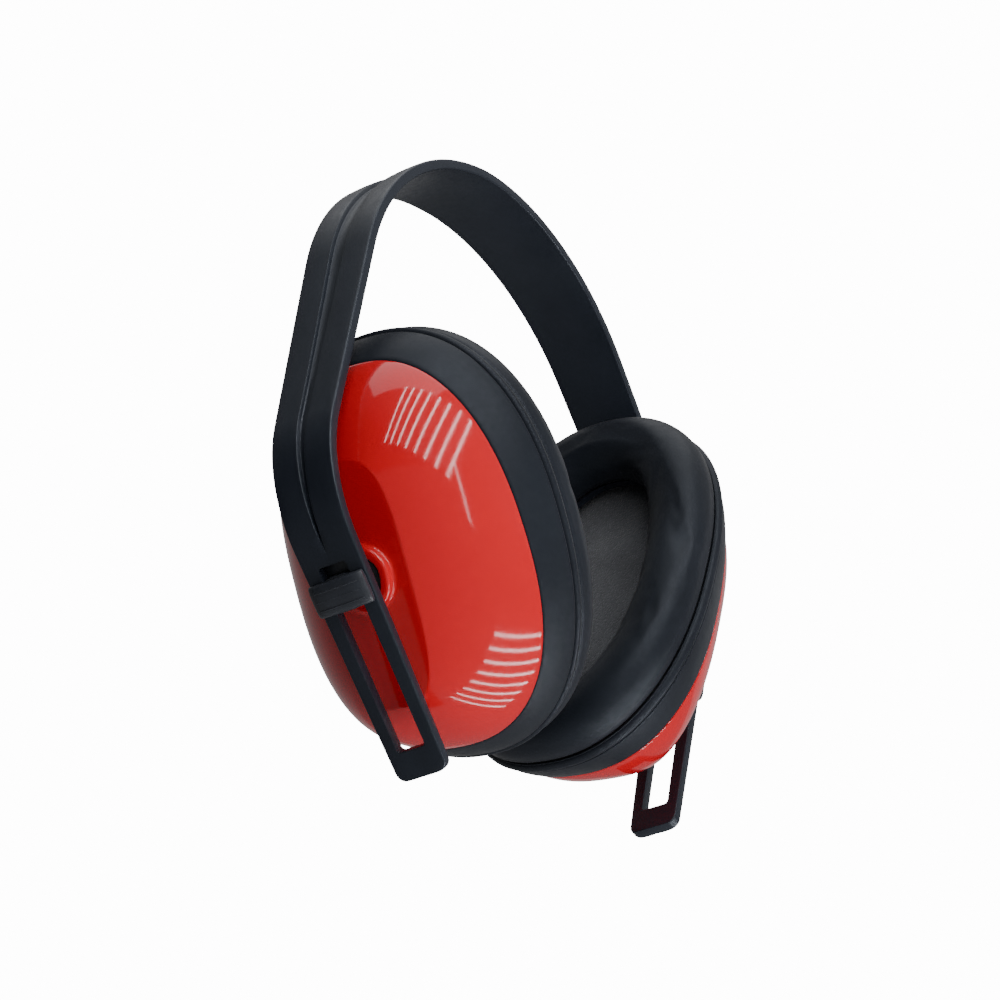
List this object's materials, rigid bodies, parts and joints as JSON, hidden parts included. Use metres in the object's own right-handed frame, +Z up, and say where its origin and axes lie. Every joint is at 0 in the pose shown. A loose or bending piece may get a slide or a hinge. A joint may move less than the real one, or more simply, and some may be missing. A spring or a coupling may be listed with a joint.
{
  "type": "earmuff hearing protector",
  "caption": "Over-the-head hearing protector: a moulded headband whose slotted legs carry sliding, swivelling ear cups with soft vinyl cushions.",
  "frame": {"origin": "underside of the headband's crown, where the band rests on the wearer's head", "axes": "+Z up through the crown, +X towards the right cup, -Y the way the wearer faces"},
  "size_m": [0.1716, 0.0775, 0.1681],
  "materials": {
    "black_band": "satin moulded polypropylene, bluish black",
    "black_nylon": "smooth black nylon",
    "red_shell": "glossy moulded ABS, signal red",
    "black_vinyl": "soft satin vinyl skin, bluish black",
    "grey_foam": "dark grey open-cell foam"
  },
  "bodies": {
    "headband": {"headband": "black_band"},
    "left_slider": {"left_slider_clip": "black_band", "left_slider_plate": "black_band", "left_ball_stud": "black_nylon"},
    "left_pivot": {"left_pivot_bush": "black_nylon"},
    "left_cup": {"left_cup_shell": "red_shell", "left_socket_cap": "black_nylon", "left_cushion_skirt": "black_vinyl", "left_cushion_base": "black_band", "left_cushion_cover": "black_vinyl", "left_cushion_foam": "grey_foam", "left_ear_foam": "grey_foam"},
    "right_slider": {"right_slider_clip": "black_band", "right_slider_plate": "black_band", "right_ball_stud": "black_nylon"},
    "right_pivot": {"right_pivot_bush": "black_nylon"},
    "right_cup": {"right_cup_shell": "red_shell", "right_socket_cap": "black_nylon", "right_cushion_skirt": "black_vinyl", "right_cushion_base": "black_band", "right_cushion_cover": "black_vinyl", "right_cushion_foam": "grey_foam", "right_ear_foam": "grey_foam"}
  },
  "joints": [
    {"name": "left_height", "type": "slide", "parent": "headband", "child": "left_slider", "axis": [0.4909, 0, -0.8712], "range_m": [0, 0.034]},
    {"name": "left_swivel", "type": "hinge", "parent": "left_slider", "child": "left_pivot", "pos_m": [-0.06573, 0, -0.11959], "axis": [-0.4909, 0, 0.8712], "range_deg": [-12, 12]},
    {"name": "left_tilt", "type": "hinge", "parent": "left_pivot", "child": "left_cup", "pos_m": [-0.06573, 0, -0.11959], "axis": [0.0314, 0.9994, 0.0177], "range_deg": [-3, 8]},
    {"name": "right_height", "type": "slide", "parent": "headband", "child": "right_slider", "axis": [0.4909, 0, 0.8712], "range_m": [-0.036, 0]},
    {"name": "right_swivel", "type": "hinge", "parent": "right_slider", "child": "right_pivot", "pos_m": [0.06686, 0, -0.11759], "axis": [0.4909, 0, 0.8712], "range_deg": [-12, 12]},
    {"name": "right_tilt", "type": "hinge", "parent": "right_pivot", "child": "right_cup", "pos_m": [0.06686, 0, -0.11759], "axis": [-0.0035, -1, 0.002], "range_deg": [-1, 7.5]}
  ]
}
